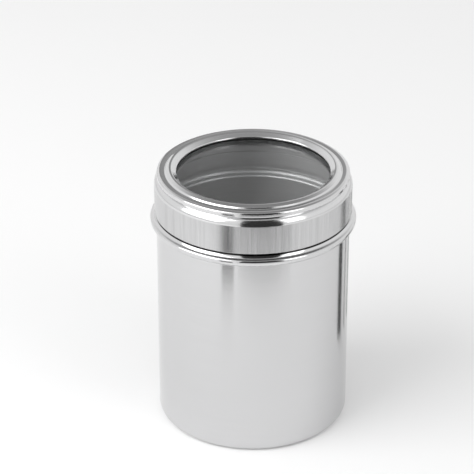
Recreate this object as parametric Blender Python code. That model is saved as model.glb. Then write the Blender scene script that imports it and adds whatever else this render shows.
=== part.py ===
"""Tall stainless steel storage canister (dabba) with a slip-on see-through lid.

Every piece is turned: its section in the XZ plane is spun once round +Z.
Metres, +Z up, origin at the centre of the surface that the canister stands on.
"""

from math import cos, hypot, pi, radians, sin

import bmesh
import bpy

# Driving dimensions
BODY_RADIUS = 0.0500          # outside of the drawn wall
SHEET = 0.0005                # steel sheet of the canister, the lid and the retaining ring
FACETS = 48                   # sides of every turned piece
CORNER_RADIUS = 0.0034        # wall to base
BEAD_RADIUS = 0.0532          # the bead's widest radius
BEAD_Z = 0.1134               # height at which the bead's side turns into its ledge
NECK_RADIUS = 0.0501          # outside of the neck that the lid slips over
NECK_TOP = 0.1250
SKIRT_RADIUS = 0.0510         # outside of the lid's skirt
SKIRT_BOTTOM = 0.1173
SKIRT_TOP = 0.1323            # where the skirt turns into the shoulder
RIM_TOP = 0.1409              # highest point of the lid's rim
WINDOW_OPENING = 0.0395       # radius of the opening in the rim
FIT_GAP = 0.0003              # left between pieces that touch
SEAT_GAP = 0.0004             # left between the neck's edge and the retaining ring

# Base: a foot ring round a panel that is pressed up
FOOT_INNER = 0.0380
PANEL_RADIUS = 0.0365
PANEL_RISE = 0.0008

# Bead: a round underside, a tight outer corner, a narrow ledge and a flare up to the neck
BEAD_UNDER_RADIUS = 0.0025
BEAD_UNDER_Z = 0.1130         # height at which the underside turns into the bead's side
BEAD_ROOT_RADIUS = 0.0007
BEAD_CORNER_RADIUS = 0.0011
LEDGE_SLOPE = 78              # degrees by which the ledge's normal is turned up
LEDGE_WIDTH = 0.0005
FLARE_FOOT_RADIUS = 0.0012
FLARE_RADIUS = 0.0046
FLARE_SLOPE = 44              # degrees at which the foot ends
FLARE_START = 33              # degrees at which the flare starts, one facet above the foot

# Lid top: shoulder, step, rounded band, crease, crest and lip round the opening
SHOULDER_ROUND = 0.0042
SHOULDER_TURN = 58            # degrees by which the skirt turns inwards over the shoulder
STEP_RADIUS = 0.0496
STEP_Z = 0.1374               # height above which the step stands upright
STEP_ROUND = 0.0010
STEP_CENTRE_Z = 0.13825
STEP_TURN = 53                # degrees by which the step turns into the band
BAND_ROUND = 0.0020
BAND_CENTRE = (0.04786, 0.13755)
BAND_TURN = 98                # degrees at which the band slopes down to the crease
CREASE = (0.0455, 0.13925)
CREST_RADIUS = 0.0427
CREST_HALF = 0.0021           # half the crest's width
CREST_HEIGHT = 0.0008
CREST_END = 110               # degrees at which the crest meets the slope down to the opening
LIP_ROUND = 0.0006
LIP_START = 128               # degrees at which the slope turns down into the opening
FLANGE_Z = 0.1380             # underside of the flange that presses on the gasket
FLANGE_OUTER = 0.0422

# Window, gasket and retaining ring
WINDOW_RADIUS = 0.0455
WINDOW_THICKNESS = 0.0010
GASKET_INNER = 0.0400
GASKET_LIP = 0.0009
RING_LIP_INNER = 0.0446
RING_OUTER = 0.0500
RING_ROUND = 0.0024
RING_BOTTOM = NECK_TOP + SEAT_GAP

# Heights of the stack under the flange, from the top down
GASKET_TOP = FLANGE_Z - FIT_GAP
WINDOW_TOP = GASKET_TOP - GASKET_LIP - FIT_GAP
WINDOW_BOTTOM = WINDOW_TOP - WINDOW_THICKNESS
RING_TOP = WINDOW_BOTTOM - FIT_GAP
GASKET_OUTER = WINDOW_RADIUS + FIT_GAP + GASKET_LIP


def arc(centre, radius, start, end, steps):
    """Points of an arc from start to end, in degrees. A pair of radii makes it an ellipse's."""
    wide, high = radius if isinstance(radius, tuple) else (radius, radius)
    turns = [radians(start + (end - start) * i / steps) for i in range(steps + 1)]
    return [(centre[0] + wide * cos(a), centre[1] + high * sin(a)) for a in turns]


def offset(path, distance):
    """The path moved to its left by distance, with mitred corners."""
    moved = []
    for i, (x, z) in enumerate(path):
        sides = []
        for a, b in ((i - 1, i), (i, i + 1)):
            if a >= 0 and b < len(path):
                dx, dz = path[b][0] - path[a][0], path[b][1] - path[a][1]
                sides.append((-dz / hypot(dx, dz), dx / hypot(dx, dz)))
        nx, nz = (sum(side[k] for side in sides) / len(sides) for k in (0, 1))
        scale = distance / (nx * nx + nz * nz)
        moved.append((x + nx * scale, z + nz * scale))
    return moved


def sheet_section(path):
    """The closed section of a sheet whose outer face follows path and whose metal lies to its left."""
    return path + offset(path, SHEET)[::-1]


def body_path():
    """The canister's outer face, from the middle of the base up to the edge of the neck."""
    root = (BODY_RADIUS + BEAD_ROOT_RADIUS, BEAD_UNDER_Z - BEAD_UNDER_RADIUS - BEAD_ROOT_RADIUS)
    under = (BEAD_RADIUS - BEAD_UNDER_RADIUS, BEAD_UNDER_Z)
    corner = (BEAD_RADIUS - BEAD_CORNER_RADIUS, BEAD_Z)
    path = [(0.0, PANEL_RISE), (PANEL_RADIUS, PANEL_RISE), (FOOT_INNER, 0.0)]
    path += arc((BODY_RADIUS - CORNER_RADIUS, CORNER_RADIUS), CORNER_RADIUS, -90, 0, 4)
    path += arc(root, BEAD_ROOT_RADIUS, 180, 90, 2)
    path += arc(under, BEAD_UNDER_RADIUS, -90, 0, 5)[1:]
    path += arc(corner, BEAD_CORNER_RADIUS, 0, LEDGE_SLOPE, 3)
    slope = radians(LEDGE_SLOPE)
    inner = (path[-1][0] - LEDGE_WIDTH * sin(slope), path[-1][1] + LEDGE_WIDTH * cos(slope))
    foot = (inner[0] + FLARE_FOOT_RADIUS * cos(slope), inner[1] + FLARE_FOOT_RADIUS * sin(slope))
    path += arc(foot, FLARE_FOOT_RADIUS, 180 + LEDGE_SLOPE, 180 + FLARE_SLOPE, 2)
    flare = radians(FLARE_SLOPE)
    flare_z = path[-1][1] + FLARE_RADIUS * sin(flare)
    path += arc((NECK_RADIUS + FLARE_RADIUS, flare_z), FLARE_RADIUS, 180 + FLARE_START, 180, 3)
    return path + [(NECK_RADIUS, NECK_TOP)]


def lid_path():
    """The lid's outer face, from the bottom of the skirt over the rim and under it to the flange."""
    shoulder = (SKIRT_RADIUS - SHOULDER_ROUND, SKIRT_TOP)
    step = (STEP_RADIUS - STEP_ROUND, STEP_CENTRE_Z)
    crest = (CREST_RADIUS, RIM_TOP - CREST_HEIGHT)
    path = [(SKIRT_RADIUS, SKIRT_BOTTOM)]
    path += arc(shoulder, SHOULDER_ROUND, 0, SHOULDER_TURN, 5)
    path += [(STEP_RADIUS, STEP_Z)]
    path += arc(step, STEP_ROUND, 0, STEP_TURN, 3)
    path += arc(BAND_CENTRE, BAND_ROUND, STEP_TURN, BAND_TURN, 4)[1:]
    path += [CREASE]
    path += arc(crest, (CREST_HALF, CREST_HEIGHT), 0, CREST_END, 5)
    path += arc((WINDOW_OPENING + LIP_ROUND, FLANGE_Z + LIP_ROUND), LIP_ROUND, LIP_START, 270, 5)
    return path + [(FLANGE_OUTER, FLANGE_Z)]


def gasket_section():
    """An angle: a lip over the window and a wall round its edge."""
    wall_inner = GASKET_OUTER - GASKET_LIP
    lip_bottom = GASKET_TOP - GASKET_LIP
    return [(GASKET_INNER, GASKET_TOP), (GASKET_INNER, lip_bottom), (wall_inner, lip_bottom),
            (wall_inner, WINDOW_BOTTOM), (GASKET_OUTER, WINDOW_BOTTOM), (GASKET_OUTER, GASKET_TOP)]


def ring_path():
    """The retaining ring's outer face, from the bottom of its wall to the edge of its lip."""
    bend = (RING_OUTER - RING_ROUND, RING_TOP - RING_ROUND)
    return [(RING_OUTER, RING_BOTTOM)] + arc(bend, RING_ROUND, 0, 90, 4) + [(RING_LIP_INNER, RING_TOP)]


def steel(name, roughness):
    """Bare stainless steel."""
    return material(name, (0.72, 0.72, 0.73, 1.0), roughness, 1.0)


def material(name, colour, roughness, metallic, transmission=0.0):
    """A Principled material."""
    made = bpy.data.materials.new(name)
    made.use_nodes = True
    shader = made.node_tree.nodes["Principled BSDF"]
    shader.inputs["Base Color"].default_value = colour
    shader.inputs["Roughness"].default_value = roughness
    shader.inputs["Metallic"].default_value = metallic
    shader.inputs["Transmission Weight"].default_value = transmission
    made.diffuse_color = colour
    return made


def turned(name, section, finish, axis_z):
    """A new object made by spinning a closed section in the XZ plane once round +Z.

    The object's origin is on the axis at axis_z.
    """
    bm = bmesh.new()
    verts = [bm.verts.new((x, 0.0, z - axis_z)) for x, z in section]
    edges = [bm.edges.new(pair) for pair in zip(verts, verts[1:])]
    if section[0][0] > 0.0:
        edges.append(bm.edges.new((verts[-1], verts[0])))
    bmesh.ops.spin(bm, geom=verts + edges, axis=(0, 0, 1), cent=(0, 0, 0), dvec=(0, 0, 0),
                   angle=2 * pi, steps=FACETS, use_merge=True)
    bmesh.ops.remove_doubles(bm, verts=bm.verts, dist=1e-6)
    bmesh.ops.recalc_face_normals(bm, faces=bm.faces)
    mesh = bpy.data.meshes.new(name)
    bm.to_mesh(mesh)
    bm.free()
    mesh.shade_smooth()
    mesh.set_sharp_from_angle(angle=radians(50))
    mesh.materials.append(finish)
    piece = bpy.data.objects.new(name, mesh)
    piece.location = (0.0, 0.0, axis_z)
    bpy.context.collection.objects.link(piece)
    return piece


def clear_scene():
    """Removes what the file opened with."""
    for piece in list(bpy.data.objects):
        bpy.data.objects.remove(piece, do_unlink=True)


def build_canister():
    """The drawn canister, standing on the origin."""
    return turned("canister_body", sheet_section(body_path()), steel("satin_steel", 0.25), 0.0)


def build_lid():
    """The lid's four pieces, which lift together along +Z on one empty."""
    lift = bpy.data.objects.new("lid_lift", None)
    lift.empty_display_size = 0.02
    lift.location = (0.0, 0.0, SKIRT_BOTTOM)
    bpy.context.collection.objects.link(lift)
    rubber = material("black_seal", (0.02, 0.02, 0.02, 1.0), 0.6, 0.0)
    clear = material("clear_sheet", (0.95, 0.96, 0.96, 0.25), 0.03, 0.0, transmission=1.0)
    window_section = [(0.0, WINDOW_BOTTOM), (WINDOW_RADIUS, WINDOW_BOTTOM),
                      (WINDOW_RADIUS, WINDOW_TOP), (0.0, WINDOW_TOP)]
    pieces = (
        turned("lid_ring", sheet_section(lid_path()), steel("brushed_steel", 0.3), SKIRT_BOTTOM),
        turned("window_gasket", gasket_section(), rubber, SKIRT_BOTTOM),
        turned("lid_window", window_section, clear, SKIRT_BOTTOM),
        turned("retaining_ring", sheet_section(ring_path()), steel("ring_steel", 0.3), SKIRT_BOTTOM),
    )
    for piece in pieces:
        piece.parent = lift
        piece.location = (0.0, 0.0, 0.0)


clear_scene()
build_canister()
build_lid()
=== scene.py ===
"""A tall stainless steel storage canister with a slip-on see-through lid, dressed for the studio.

Every visible piece is turned from a sheet or a solid section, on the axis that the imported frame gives,
and rides on the frame's own bodies.
"""

import logging
from dataclasses import dataclass
from enum import Enum
from math import cos, pi, radians, sin, tan
from typing import Sequence

import bmesh
import bpy
from mathutils import Matrix, Vector


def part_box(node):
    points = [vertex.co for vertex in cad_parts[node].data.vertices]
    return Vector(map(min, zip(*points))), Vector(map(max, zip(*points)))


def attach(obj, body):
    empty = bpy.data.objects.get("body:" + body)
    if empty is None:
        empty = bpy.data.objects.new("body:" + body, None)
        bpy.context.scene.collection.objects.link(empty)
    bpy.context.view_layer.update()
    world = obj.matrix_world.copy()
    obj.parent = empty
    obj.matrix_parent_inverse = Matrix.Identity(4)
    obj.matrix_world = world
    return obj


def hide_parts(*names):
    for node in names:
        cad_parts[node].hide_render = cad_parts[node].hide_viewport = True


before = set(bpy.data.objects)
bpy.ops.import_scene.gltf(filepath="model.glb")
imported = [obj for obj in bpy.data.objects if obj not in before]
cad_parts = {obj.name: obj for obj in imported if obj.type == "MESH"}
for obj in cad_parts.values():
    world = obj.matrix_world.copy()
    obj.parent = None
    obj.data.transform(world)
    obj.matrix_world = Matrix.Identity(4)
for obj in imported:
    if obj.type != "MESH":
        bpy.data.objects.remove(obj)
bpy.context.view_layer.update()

log = logging.getLogger("canister")

MM = 0.001
SHEET = 0.5 * MM
EDGE_BREAK = 0.1 * MM
TURN_STEPS = 256
ROUND_STEP = 7.0
SHARP_ANGLE = 40.0
OUTSIDE, INSIDE = 0, 1
WHITE = (1.0, 1.0, 1.0, 1.0)


def direction(bearing: float, rise: float) -> Vector:
    """The unit vector that points away from the canister.

    Args:
        bearing: degrees to the right of the camera's side, seen from the canister.
        rise: degrees above the floor.

    Returns:
        The direction.
    """
    flat = cos(radians(rise))
    return Vector((sin(radians(bearing)) * flat, -cos(radians(bearing)) * flat, sin(radians(rise))))


class Grain(Enum):
    """The direction in which a steel surface was brushed or polished."""

    RINGS = "rings"
    UPRIGHT = "upright"


@dataclass(frozen=True)
class Corner:
    """A corner of a section: its distance from the axis, its height and the radius it is rounded to."""

    radius: float
    height: float
    round: float = 0.0

    def at(self) -> Vector:
        """The corner's place in the XZ plane."""
        return Vector((self.radius, 0.0, self.height))


@dataclass(frozen=True)
class Nodes:
    """A short hand for a material's node tree."""

    tree: bpy.types.NodeTree

    def add(self, kind: str, links: dict | None = None, **settings) -> bpy.types.Node:
        """Adds a node.

        Args:
            kind: the node's type.
            links: for each input, by name or number, an output to link or a value to set.
            settings: the node's own properties.

        Returns:
            The new node.
        """
        node = self.tree.nodes.new(kind)
        for name, value in settings.items():
            setattr(node, name, value)
        for key, value in (links or {}).items():
            if isinstance(value, bpy.types.NodeSocket):
                self.tree.links.new(value, node.inputs[key])
            else:
                node.inputs[key].default_value = value
        return node

    def remap(self, value: bpy.types.NodeSocket, low: float, high: float,
              start: float = 0.0, end: float = 1.0) -> bpy.types.NodeSocket:
        """A value between start and end brought between low and high."""
        node = self.add("ShaderNodeMapRange", {"Value": value, "From Min": start, "From Max": end,
                                               "To Min": low, "To Max": high})
        return node.outputs["Result"]

    def blend(self, first: bpy.types.NodeSocket, second: bpy.types.NodeSocket,
              share: float) -> bpy.types.NodeSocket:
        """Two values mixed, with the given share of the second."""
        return self.add("ShaderNodeMix", {"Factor": share, "A": first, "B": second}).outputs["Result"]

    def noise(self, place: bpy.types.NodeSocket, scale: float, detail: float) -> bpy.types.NodeSocket:
        """A cloudy value near 0.5, with the given number of clouds to a metre."""
        node = self.add("ShaderNodeTexNoise", {"Vector": place, "Scale": scale, "Detail": detail})
        return node.outputs["Fac"]


def new_material(name: str) -> tuple[bpy.types.Material, Nodes, bpy.types.Node]:
    """Makes an empty material.

    Args:
        name: the material's name.

    Returns:
        The material, its nodes and its Principled shader.
    """
    material = bpy.data.materials.new(name)
    material.use_nodes = True
    nodes = Nodes(material.node_tree)
    return material, nodes, material.node_tree.nodes["Principled BSDF"]


@dataclass(frozen=True)
class SteelFinish:
    """Bare stainless steel, with fine lines from brushing or from the lathe.

    The stretch is how fast the lines change along their own direction, the shade is how much darker the
    darkest line is, and the optional band of height is painted near black as painted shade for the dark gap
    under the lid's edge. Scales are in lines to a metre.
    """

    name: str
    colour: tuple[float, float, float]
    roughness: tuple[float, float]
    grain: Grain
    stretch: float
    shade: float
    line_depth: float
    anisotropy: float
    # the band of height painted near black, as painted shade in the gap under the lid's edge
    painted_shade_band: tuple[float, float] | None = None
    fine_scale: float = 2600.0
    broad_scale: float = 420.0
    broad_share: float = 0.45
    cloud_scale: float = 38.0
    cloud_share: float = 0.25
    # soft edge and near-black colour of the painted shade band under the lid's edge
    painted_shade_soft: float = 0.12 * MM
    painted_shade_colour: tuple[float, float, float] = (0.03, 0.03, 0.03)

    def material(self) -> bpy.types.Material:
        """Builds the finish as a material."""
        material, nodes, shader = new_material(self.name)
        place = nodes.add("ShaderNodeTexCoord").outputs["Object"]
        fine = self.lines(nodes, place, self.fine_scale)
        broad = self.lines(nodes, place, self.broad_scale)
        cloud = nodes.noise(place, self.cloud_scale, 3.0)
        lines = nodes.blend(fine, broad, self.broad_share)
        worn = nodes.blend(lines, cloud, self.cloud_share)
        dark = tuple(c * (1.0 - self.shade) for c in self.colour) + (1.0,)
        tone = nodes.add("ShaderNodeMix", {"Factor": nodes.remap(lines, 0.0, 1.0, 0.3, 0.7), "A": dark,
                                           "B": self.colour + (1.0,)}, data_type="RGBA")
        bump = nodes.add("ShaderNodeBump", {"Strength": 1.0, "Distance": self.line_depth, "Height": lines})
        tangent = nodes.add("ShaderNodeTangent", direction_type="RADIAL", axis="Z")
        # paints the shade of the gap under the lid's edge into the colour, for a finish that has the band
        colour = self.with_painted_shade(nodes, place, tone.outputs["Result"]) if self.painted_shade_band else tone.outputs["Result"]
        nodes.tree.links.new(colour, shader.inputs["Base Color"])
        nodes.tree.links.new(nodes.remap(worn, *self.roughness, 0.3, 0.7), shader.inputs["Roughness"])
        nodes.tree.links.new(bump.outputs["Normal"], shader.inputs["Normal"])
        nodes.tree.links.new(tangent.outputs["Tangent"], shader.inputs["Tangent"])
        shader.inputs["Metallic"].default_value = 1.0
        shader.inputs["Anisotropic"].default_value = self.anisotropy
        shader.inputs["Anisotropic Rotation"].default_value = 0.25 if self.grain is Grain.RINGS else 0.0
        return material

    def with_painted_shade(self, nodes: Nodes, place: bpy.types.NodeSocket,
                colour: bpy.types.NodeSocket) -> bpy.types.NodeSocket:
        """Paints shade into the steel's colour between two heights: the dark gap under the lid's edge,
        painted near black.

        Args:
            nodes: the material's nodes.
            place: the point in the piece's own coordinates.
            colour: the clean steel's colour.

        Returns:
            The colour with the painted shade.
        """
        low, high = self.painted_shade_band
        soft = self.painted_shade_soft
        height = nodes.add("ShaderNodeSeparateXYZ", {"Vector": place}).outputs["Z"]
        above = nodes.remap(height, 0.0, 1.0, low - soft, low + soft)
        below = nodes.remap(height, 1.0, 0.0, high - soft, high + soft)
        painted_shade_mask = nodes.add("ShaderNodeMath", {0: above, 1: below}, operation="MULTIPLY").outputs["Value"]
        # near-black painted shade in the gap under the lid's edge
        painted_shade_mix = nodes.add("ShaderNodeMix", {"Factor": painted_shade_mask, "A": colour, "B": self.painted_shade_colour + (1.0,)},
                          data_type="RGBA")
        return painted_shade_mix.outputs["Result"]

    def lines(self, nodes: Nodes, place: bpy.types.NodeSocket, scale: float) -> bpy.types.NodeSocket:
        """A value that changes fast across the brushing and slowly along it.

        Args:
            nodes: the material's nodes.
            place: the point in the piece's own coordinates.
            scale: how many lines there are to a metre.

        Returns:
            A value near 0.5.
        """
        if self.grain is Grain.UPRIGHT:
            point = nodes.add("ShaderNodeMapping", {"Vector": place, "Scale": (1.0, 1.0, self.stretch)})
            vector = point.outputs["Vector"]
        else:
            split = nodes.add("ShaderNodeSeparateXYZ", {"Vector": place})
            flat = nodes.add("ShaderNodeCombineXYZ", {"X": split.outputs["X"], "Y": split.outputs["Y"]})
            reach = nodes.add("ShaderNodeVectorMath", {0: flat.outputs["Vector"]}, operation="LENGTH")
            turn = nodes.add("ShaderNodeVectorMath", {0: flat.outputs["Vector"]}, operation="NORMALIZE")
            drift = nodes.add("ShaderNodeVectorMath", {0: turn.outputs["Vector"], "Scale": self.stretch},
                              operation="SCALE")
            level = nodes.add("ShaderNodeCombineXYZ", {"X": reach.outputs["Value"], "Z": split.outputs["Z"]})
            vector = nodes.add("ShaderNodeVectorMath", {0: level.outputs["Vector"],
                                                        1: drift.outputs["Vector"]}).outputs["Vector"]
        return nodes.noise(vector, scale, 2.0)


@dataclass(frozen=True)
class RubberFinish:
    """Black rubber with a dull, slightly dusty skin."""

    name: str
    colour: tuple[float, float, float]
    dust: float = 1.8
    skin_scale: float = 900.0
    skin_depth: float = 0.03 * MM

    def material(self) -> bpy.types.Material:
        """Builds the finish as a material."""
        material, nodes, shader = new_material(self.name)
        place = nodes.add("ShaderNodeTexCoord").outputs["Object"]
        skin = nodes.noise(place, self.skin_scale, 4.0)
        dusty = tuple(c * self.dust for c in self.colour) + (1.0,)
        tone = nodes.add("ShaderNodeMix", {"Factor": skin, "A": self.colour + (1.0,), "B": dusty},
                         data_type="RGBA")
        bump = nodes.add("ShaderNodeBump", {"Strength": 1.0, "Distance": self.skin_depth, "Height": skin})
        nodes.tree.links.new(tone.outputs["Result"], shader.inputs["Base Color"])
        nodes.tree.links.new(nodes.remap(skin, 0.55, 0.8), shader.inputs["Roughness"])
        shader.inputs["Specular IOR Level"].default_value = 0.3
        nodes.tree.links.new(bump.outputs["Normal"], shader.inputs["Normal"])
        return material


@dataclass(frozen=True)
class ClearFinish:
    """A clear moulded sheet that lamps shine through."""

    name: str
    ior: float
    tint: tuple[float, float, float] = (0.97, 0.98, 0.98)
    smear_scale: float = 60.0
    scuff_scale: float = 1500.0
    scuff_depth: float = 0.0004 * MM
    light_through: tuple[float, float, float] = (0.9, 0.9, 0.9)

    def material(self) -> bpy.types.Material:
        """Builds the finish as a material."""
        material, nodes, shader = new_material(self.name)
        place = nodes.add("ShaderNodeTexCoord").outputs["Object"]
        smears = nodes.noise(place, self.smear_scale, 5.0)
        scuffs = nodes.noise(place, self.scuff_scale, 2.0)
        bump = nodes.add("ShaderNodeBump", {"Strength": 1.0, "Distance": self.scuff_depth, "Height": scuffs})
        nodes.tree.links.new(nodes.remap(smears, 0.0, 0.03, 0.45, 0.75), shader.inputs["Roughness"])
        nodes.tree.links.new(bump.outputs["Normal"], shader.inputs["Normal"])
        shader.inputs["Base Color"].default_value = self.tint + (1.0,)
        shader.inputs["IOR"].default_value = self.ior
        shader.inputs["Transmission Weight"].default_value = 1.0
        output = nodes.tree.nodes["Material Output"]
        path = nodes.add("ShaderNodeLightPath")
        through = nodes.add("ShaderNodeBsdfTransparent", {"Color": self.light_through + (1.0,)})
        mix = nodes.add("ShaderNodeMixShader", {0: path.outputs["Is Shadow Ray"], 1: shader.outputs["BSDF"],
                                                2: through.outputs["BSDF"]})
        nodes.tree.links.new(mix.outputs["Shader"], output.inputs["Surface"])
        return material


BODY_STEEL = SteelFinish("satin_body_steel", (0.655, 0.655, 0.66), (0.12, 0.2), Grain.RINGS,
                         stretch=0.0004, shade=0.05, line_depth=0.0006 * MM, anisotropy=0.7)
# The bead's finish has a band from 115.95 to 117.8 mm painted near black: painted shade in the gap under the
# lid's skirt.
BEAD_STEEL = SteelFinish("polished_bead_steel", (0.69, 0.69, 0.695), (0.08, 0.16), Grain.RINGS,
                         stretch=0.0004, shade=0.06, line_depth=0.0008 * MM, anisotropy=0.5,
                         painted_shade_band=(115.95 * MM, 117.8 * MM))
INSIDE_STEEL = SteelFinish("dull_inside_steel", (0.62, 0.62, 0.625), (0.4, 0.52), Grain.RINGS,
                           stretch=0.0006, shade=0.1, line_depth=0.002 * MM, anisotropy=0.4)
SKIRT_STEEL = SteelFinish("brushed_skirt_steel", (0.65, 0.65, 0.655), (0.14, 0.26), Grain.UPRIGHT,
                          stretch=0.02, shade=0.25, line_depth=0.002 * MM, anisotropy=0.6)
RIM_STEEL = SteelFinish("polished_rim_steel", (0.70, 0.70, 0.705), (0.1, 0.2), Grain.RINGS,
                        stretch=0.0004, shade=0.08, line_depth=0.001 * MM, anisotropy=0.5)
RING_STEEL = SteelFinish("plain_ring_steel", (0.66, 0.66, 0.665), (0.25, 0.35), Grain.RINGS,
                         stretch=0.0006, shade=0.1, line_depth=0.002 * MM, anisotropy=0.5)
SEAL_RUBBER = RubberFinish("black_seal_rubber", (0.006, 0.006, 0.006))
CLEAR_SHEET = ClearFinish("clear_moulded_sheet", 1.49)


def rounded_profile(bm: bmesh.types.BMesh, corners: Sequence[Corner], closed: bool) -> None:
    """Draws a section as a wire in the XZ plane and rounds its corners.

    Args:
        bm: the mesh that takes the wire.
        corners: the section's corners in order.
        closed: whether the last corner is joined to the first.
    """
    verts = [bm.verts.new(corner.at()) for corner in corners]
    pairs = list(zip(verts, verts[1:]))
    if closed:
        pairs.append((verts[-1], verts[0]))
    for pair in pairs:
        bm.edges.new(pair)
    count = len(corners)
    for i, corner in enumerate(corners):
        if not corner.round:
            continue
        before, after = corners[i - 1].at(), corners[(i + 1) % count].at()
        turn = pi - (before - corner.at()).angle(after - corner.at())
        steps = max(3, round(turn / radians(ROUND_STEP)))
        bmesh.ops.bevel(bm, geom=[verts[i]], offset=corner.round * tan(turn / 2.0), offset_type="OFFSET",
                        segments=steps, profile=0.5, affect="VERTICES", material=-1)


def hold_straights(bm: bmesh.types.BMesh, reach: float = 0.25 * MM) -> None:
    """Adds a point near each end of a profile's long straights, so that smooth shading stays flat there.

    Args:
        bm: the mesh that holds the wire.
        reach: how far from its end a point goes.
    """
    for edge in [e for e in bm.edges if e.calc_length() > 4.0 * reach]:
        length = edge.calc_length()
        start = edge.verts[0]
        bmesh.utils.edge_split(edge, start, reach / length)
        longest = max((e for e in start.link_edges for e in e.other_vert(start).link_edges),
                      key=lambda e: e.calc_length())
        far = max(longest.verts, key=lambda v: (v.co - start.co).length)
        bmesh.utils.edge_split(longest, far, reach / longest.calc_length())


def turned(name: str, corners: Sequence[Corner], thickness: float = 0.0,
           edge_round: float = 0.0) -> bpy.types.Object:
    """Turns a section into a piece round the canister's axis.

    Args:
        name: the piece's name.
        corners: the section, or the outer face of a sheet.
        thickness: the sheet's thickness, or 0 for a closed section.
        edge_round: how far the sheet's cut edges are broken.

    Returns:
        The new object, with its place in its mesh. A sheet's outer faces have material OUTSIDE, and the
        faces of its other side have material INSIDE.
    """
    bm = bmesh.new()
    on_axis = corners[0].radius == 0.0
    rounded_profile(bm, corners, closed=not thickness and not on_axis)
    hold_straights(bm)
    bmesh.ops.spin(bm, geom=bm.verts[:] + bm.edges[:], axis=(0, 0, 1), cent=(0, 0, 0), dvec=(0, 0, 0),
                   angle=2 * pi, steps=TURN_STEPS, use_merge=True)
    bmesh.ops.remove_doubles(bm, verts=bm.verts, dist=0.001 * MM)
    bmesh.ops.recalc_face_normals(bm, faces=bm.faces)
    if thickness:
        shifted = bmesh.ops.solidify(bm, geom=bm.faces[:], thickness=thickness)["geom"]
        for face in [f for f in shifted if isinstance(f, bmesh.types.BMFace)]:
            face.material_index = INSIDE
        bmesh.ops.recalc_face_normals(bm, faces=bm.faces)
    if edge_round:
        cut = [e for e in bm.edges if e.is_manifold and e.calc_face_angle() > radians(70)]
        bmesh.ops.bevel(bm, geom=cut, offset=edge_round, offset_type="OFFSET", segments=2, profile=0.5,
                        affect="EDGES", material=-1)
    mesh = bpy.data.meshes.new(name)
    bm.to_mesh(mesh)
    bm.free()
    mesh.shade_smooth()
    mesh.set_sharp_from_angle(angle=radians(SHARP_ANGLE))
    piece = bpy.data.objects.new(name, mesh)
    bpy.context.collection.objects.link(piece)
    return piece


def repaint_above(piece: bpy.types.Object, height: float) -> None:
    """Gives a piece's outer faces above a height the last of its materials.

    Args:
        piece: the piece, with its materials.
        height: where the change is.
    """
    last = len(piece.data.materials) - 1
    for face in piece.data.polygons:
        if face.material_index == OUTSIDE and face.center.z > height:
            face.material_index = last


def settle(piece: bpy.types.Object, body: str, node: str) -> None:
    """Puts a piece in the frame.

    Args:
        piece: the piece.
        body: the body it moves with.
        node: the frame's node that it stands for.
    """
    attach(piece, body)
    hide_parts(node)
    log.info("%s: %d faces, rides on %s", piece.name, len(piece.data.polygons), body)


@dataclass
class Canister:
    """The drawn shell: base, wall, seat bead and neck, from one sheet.

    Sizes are radii and heights of its outer face, and the rounds are of the section's corners.
    """

    wall: float = 50.0 * MM
    foot_inner: float = 38.0 * MM
    panel: float = 36.5 * MM
    panel_rise: float = 0.8 * MM
    panel_round: float = 0.8 * MM
    base_round: float = 3.4 * MM
    bead: float = 53.2 * MM
    bead_under: float = 110.5 * MM
    bead_root_round: float = 0.7 * MM
    bead_under_round: float = 2.5 * MM
    bead_edge: float = 114.31 * MM
    bead_edge_round: float = 1.1 * MM
    flare_foot: tuple[float, float] = (51.5 * MM, 114.67 * MM)
    flare_foot_round: float = 1.2 * MM
    neck: float = 50.1 * MM
    neck_foot: float = 116.4 * MM
    neck_foot_round: float = 4.6 * MM
    neck_top: float = 125.0 * MM
    polish_below_bead: float = 0.8 * MM

    def section(self) -> list[Corner]:
        """The outer face, from the middle of the base to the edge of the neck."""
        return [
            Corner(0.0, self.panel_rise),
            Corner(self.panel, self.panel_rise, self.panel_round),
            Corner(self.foot_inner, 0.0, self.panel_round),
            Corner(self.wall, 0.0, self.base_round),
            Corner(self.wall, self.bead_under, self.bead_root_round),
            Corner(self.bead, self.bead_under, self.bead_under_round),
            Corner(self.bead, self.bead_edge, self.bead_edge_round),
            Corner(*self.flare_foot, self.flare_foot_round),
            Corner(self.neck, self.neck_foot, self.neck_foot_round),
            Corner(self.neck, self.neck_top),
        ]

    def build(self) -> None:
        """Builds the shell and dresses it."""
        shell = turned("canister_shell", self.section(), SHEET, EDGE_BREAK)
        for finish in (BODY_STEEL, INSIDE_STEEL, BEAD_STEEL):
            shell.data.materials.append(finish.material())
        repaint_above(shell, self.bead_under - self.polish_below_bead)
        settle(shell, "canister", "canister_body")


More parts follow.
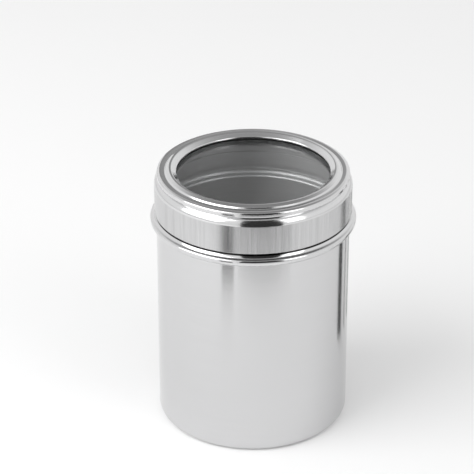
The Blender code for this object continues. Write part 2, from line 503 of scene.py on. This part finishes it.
@dataclass
class Lid:
    """The slip-on lid: a rolled ring of sheet, the clear window, its seal and the ring that holds them.

    A pair of numbers is the radius and the height of one corner of the rolled ring's section.
    """

    skirt: float = 51.0 * MM
    skirt_bottom: float = 117.3 * MM
    skirt_top: float = 132.3 * MM
    shoulder_bend: float = 134.63 * MM
    shoulder_round: float = 4.2 * MM
    step_foot: tuple[float, float] = (48.95 * MM, 135.91 * MM)
    step_foot_round: float = 0.2 * MM
    step: float = 49.6 * MM
    step_bend: float = 136.9 * MM
    band_edge: float = 138.75 * MM
    band_round: float = 1.0 * MM
    band_top: tuple[float, float] = (48.4 * MM, 139.65 * MM)
    band_top_round: float = 2.0 * MM
    band_inner: tuple[float, float] = (45.5 * MM, 139.25 * MM)
    crest_foot: tuple[float, float] = (44.8 * MM, 140.1 * MM)
    crease_round: float = 0.5 * MM
    rim_top: float = 140.9 * MM
    crest: float = 42.7 * MM
    crest_half: float = 0.6 * MM
    crest_outer_round: float = 0.8 * MM
    crest_inner_round: float = 1.0 * MM
    opening: float = 39.5 * MM
    lip_top: float = 138.85 * MM
    lip_round: float = 0.5 * MM
    flange_under: float = 138.0 * MM
    flange_round: float = 0.4 * MM
    flange: float = 2.7 * MM
    window_round: float = 0.2 * MM
    seal_lip: float = 0.9 * MM
    seal_inset: float = 0.5 * MM
    seal_round: float = 0.2 * MM
    seal_inner_round: float = 0.1 * MM
    holder_opening: float = 44.6 * MM
    holder_round: float = 2.4 * MM

    def section(self) -> list[Corner]:
        """The ring's outer face, from the skirt's edge over the rim to the flange under it."""
        return [
            Corner(self.skirt, self.skirt_bottom),
            Corner(self.skirt, self.shoulder_bend, self.shoulder_round),
            Corner(*self.step_foot, self.step_foot_round),
            Corner(self.step, self.step_bend, self.band_round),
            Corner(self.step, self.band_edge, self.band_round),
            Corner(*self.band_top, self.band_top_round),
            Corner(*self.band_inner, self.crease_round),
            Corner(*self.crest_foot, self.crease_round),
            Corner(self.crest + self.crest_half, self.rim_top, self.crest_outer_round),
            Corner(self.crest - self.crest_half, self.rim_top, self.crest_inner_round),
            Corner(self.opening, self.lip_top, self.lip_round),
            Corner(self.opening, self.flange_under, self.flange_round),
            Corner(self.opening + self.flange, self.flange_under),
        ]

    def build_ring(self) -> None:
        """Builds the ring: its skirt is brushed upright, its rim polished round and its inside dull."""
        ring = turned("lid_sheet", self.section(), SHEET, EDGE_BREAK)
        for finish in (SKIRT_STEEL, INSIDE_STEEL, RIM_STEEL):
            ring.data.materials.append(finish.material())
        repaint_above(ring, self.skirt_top)
        settle(ring, "lid", "lid_ring")

    def build_window(self) -> None:
        """Builds the clear disc."""
        low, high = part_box("lid_window")
        section = [Corner(0.0, low[2]), Corner(high[0], low[2], self.window_round),
                   Corner(high[0], high[2], self.window_round), Corner(0.0, high[2])]
        window = turned("clear_window", section)
        window.data.materials.append(CLEAR_SHEET.material())
        settle(window, "lid", "lid_window")

    def build_seal(self) -> None:
        """Builds the angle of rubber round the window's edge."""
        low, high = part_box("window_gasket")
        inner, outer = self.opening + self.seal_inset, high[0] - self.seal_lip
        under = high[2] - self.seal_lip
        section = [Corner(inner, high[2], self.seal_round), Corner(inner, under, self.seal_round),
                   Corner(outer, under, self.seal_inner_round), Corner(outer, low[2], self.seal_round),
                   Corner(high[0], low[2], self.seal_round), Corner(high[0], high[2], self.seal_round)]
        seal = turned("window_seal", section)
        seal.data.materials.append(SEAL_RUBBER.material())
        settle(seal, "lid", "window_gasket")

    def build_holder(self) -> None:
        """Builds the steel ring that presses the window up against the rim's flange."""
        low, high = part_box("retaining_ring")
        section = [Corner(high[0], low[2]), Corner(high[0], high[2], self.holder_round),
                   Corner(self.holder_opening, high[2])]
        holder = turned("holding_ring", section, SHEET, EDGE_BREAK)
        for finish in (RING_STEEL, INSIDE_STEEL):
            holder.data.materials.append(finish.material())
        settle(holder, "lid", "retaining_ring")

    def build(self) -> None:
        """Builds all four pieces."""
        self.build_ring()
        self.build_window()
        self.build_seal()
        self.build_holder()


@dataclass(frozen=True)
class SoftLight:
    """A soft light, hung at a bearing and a rise in degrees, with its width and height in metres.

    The radiance is how bright its face is, with the floor near 1.
    """

    name: str
    bearing: float
    rise: float
    distance: float
    size: tuple[float, float]
    radiance: float
    aim_height: float = 0.1

    def build(self) -> None:
        """Hangs the light."""
        lamp = bpy.data.lights.new(self.name, "AREA")
        lamp.shape = "RECTANGLE"
        lamp.size, lamp.size_y = self.size
        lamp.energy = self.radiance * pi * self.size[0] * self.size[1]
        light = bpy.data.objects.new(self.name, lamp)
        out = direction(self.bearing, self.rise)
        light.location = out * self.distance + Vector((0.0, 0.0, self.aim_height))
        light.rotation_euler = out.to_track_quat("Z", "Y").to_euler()
        light.visible_camera = False
        bpy.context.collection.objects.link(light)


@dataclass(frozen=True)
class Flag:
    """A dark card that stands on the floor and that only the steel and the window see.

    The bearings are where it starts and ends. The shade is how bright it is. A card with a fade is graded
    from the shade, on the canister's axis, to the fade at its right edge.
    """

    name: str
    bearings: tuple[float, float]
    distance: float
    top: float
    shade: float
    fade: float | None = None

    def build(self) -> None:
        """Stands the card up."""
        bm = bmesh.new()
        low = [bm.verts.new(direction(bearing, 0.0) * self.distance) for bearing in self.bearings]
        bmesh.ops.extrude_edge_only(bm, edges=[bm.edges.new(low)])
        bm.verts.ensure_lookup_table()
        for vert in bm.verts[2:]:
            vert.co.z = self.top
        mesh = bpy.data.meshes.new(self.name)
        bm.to_mesh(mesh)
        bm.free()
        material = bpy.data.materials.new(self.name)
        material.use_nodes = True
        nodes = Nodes(material.node_tree)
        glow = nodes.add("ShaderNodeEmission", {"Color": WHITE, "Strength": self.shade})
        if self.fade is not None:
            place = nodes.add("ShaderNodeTexCoord").outputs["Object"]
            across = nodes.add("ShaderNodeSeparateXYZ", {"Vector": place}).outputs["X"]
            edge = max(vert.co.x for vert in mesh.vertices)
            graded = nodes.remap(across, self.shade, self.fade, 0.0, edge)
            nodes.tree.links.new(graded, glow.inputs["Strength"])
        nodes.tree.links.new(glow.outputs["Emission"], nodes.tree.nodes["Material Output"].inputs["Surface"])
        mesh.materials.append(material)
        flag = bpy.data.objects.new(self.name, mesh)
        flag.visible_camera = False
        flag.visible_shadow = False
        flag.visible_diffuse = False
        bpy.context.collection.objects.link(flag)


LIGHTS = (
    SoftLight("key_light", -62.0, 38.0, 1.3, (1.1, 1.1), 2.5),
    SoftLight("fill_light", 48.0, 28.0, 1.4, (0.5, 0.9), 1.8),
)
FLAGS = (
    Flag("front_flag", (-13.0, 30.6), 0.35, 0.65, 0.03),
    Flag("side_flag", (103.0, 112.0), 0.12, 0.095, 0.03),
    Flag("side_slat", (120.5, 124.0), 0.12, 0.095, 0.2),
    Flag("side_strip", (134.0, 139.0), 0.12, 0.095, 0.2),
    Flag("back_flag", (172.0, 198.0), 0.5, 0.5, 0.33, 0.96),
    Flag("low_flag", (-16.0, 40.0), 0.26, 0.045, 0.72),
    Flag("patch_flag", (-33.0, -20.0), 0.24, 0.05, 0.1),
)


@dataclass
class Studio:
    """The white floor, the soft lights, the dark flags that edge the steel, and the camera.

    The camera's turns are in degrees. The world is as bright as its surroundings and dims round the
    direction at dim_bearing and dim_rise, overhead, from the wider to the narrower angle of dim_reach.
    """

    camera_place: tuple[float, float, float] = (0.0, -1.0106, 0.6343)
    camera_tilt: float = 27.863
    camera_heading: float = 0.474
    camera_roll: float = -0.03
    lens: float = 166.9
    sensor: float = 36.0
    near_clip: float = 0.01
    floor_half: float = 6.0
    floor_drop: float = 0.05 * MM
    floor_white: float = 0.96
    floor_roughness: float = 0.8
    backdrop: float = 1.05
    surroundings: float = 0.96
    dimmed: float = 0.3
    dim_bearing: float = 175.0
    dim_rise: float = 75.0
    dim_reach: tuple[float, float] = (15.0, 52.0)

    def build_camera(self) -> None:
        """Places the camera."""
        camera = bpy.data.objects.new("camera", bpy.data.cameras.new("camera"))
        camera.data.lens = self.lens
        camera.data.sensor_width = self.sensor
        camera.data.clip_start = self.near_clip
        aim = Matrix.Rotation(radians(self.camera_heading), 4, "Z")
        aim @= Matrix.Rotation(radians(90.0 - self.camera_tilt), 4, "X")
        aim @= Matrix.Rotation(radians(self.camera_roll), 4, "Z")
        camera.matrix_world = Matrix.Translation(self.camera_place) @ aim
        bpy.context.collection.objects.link(camera)
        bpy.context.scene.camera = camera

    def build_floor(self) -> None:
        """Lays a plain white floor."""
        bm = bmesh.new()
        bmesh.ops.create_grid(bm, x_segments=1, y_segments=1, size=self.floor_half)
        mesh = bpy.data.meshes.new("floor")
        bm.to_mesh(mesh)
        bm.free()
        floor = bpy.data.objects.new("floor", mesh)
        floor.location.z = -self.floor_drop
        material, _, shader = new_material("white_floor")
        shader.inputs["Base Color"].default_value = (self.floor_white,) * 3 + (1.0,)
        shader.inputs["Roughness"].default_value = self.floor_roughness
        shader.inputs["Specular IOR Level"].default_value = 0.0
        mesh.materials.append(material)
        bpy.context.collection.objects.link(floor)

    def build_world(self) -> None:
        """Surrounds the set with white that the camera sees as even, and the steel as darker overhead."""
        world = bpy.data.worlds.new("white_tent")
        world.use_nodes = True
        background = world.node_tree.nodes["Background"]
        nodes = Nodes(world.node_tree)
        heading = nodes.add("ShaderNodeTexCoord").outputs["Generated"]
        toward = direction(self.dim_bearing, self.dim_rise)
        near = nodes.add("ShaderNodeVectorMath", {0: heading, 1: toward}, operation="DOT_PRODUCT")
        inner, outer = (cos(radians(reach)) for reach in self.dim_reach)
        level = nodes.add("ShaderNodeMapRange", {"Value": near.outputs["Value"], "From Min": outer,
                                                 "From Max": inner, "To Min": self.surroundings,
                                                 "To Max": self.dimmed}, interpolation_type="SMOOTHSTEP")
        background.inputs["Color"].default_value = WHITE
        nodes.tree.links.new(level.outputs["Result"], background.inputs["Strength"])
        path = nodes.add("ShaderNodeLightPath")
        plain = nodes.add("ShaderNodeBackground", {"Color": WHITE, "Strength": self.backdrop})
        mix = nodes.add("ShaderNodeMixShader", {0: path.outputs["Is Camera Ray"],
                                                1: background.outputs["Background"],
                                                2: plain.outputs["Background"]})
        nodes.tree.links.new(mix.outputs["Shader"], nodes.tree.nodes["World Output"].inputs["Surface"])
        bpy.context.scene.world = world

    def build(self) -> None:
        """Builds the whole set."""
        self.build_camera()
        self.build_floor()
        self.build_world()
        for fitting in LIGHTS + FLAGS:
            fitting.build()
        bpy.context.scene.view_settings.view_transform = "Standard"


def main() -> None:
    """Builds the canister, its lid and the studio."""
    logging.basicConfig(level=logging.INFO, format="%(name)s: %(message)s")
    Studio().build()
    Canister().build()
    Lid().build()


if __name__ == "__main__":
    main()
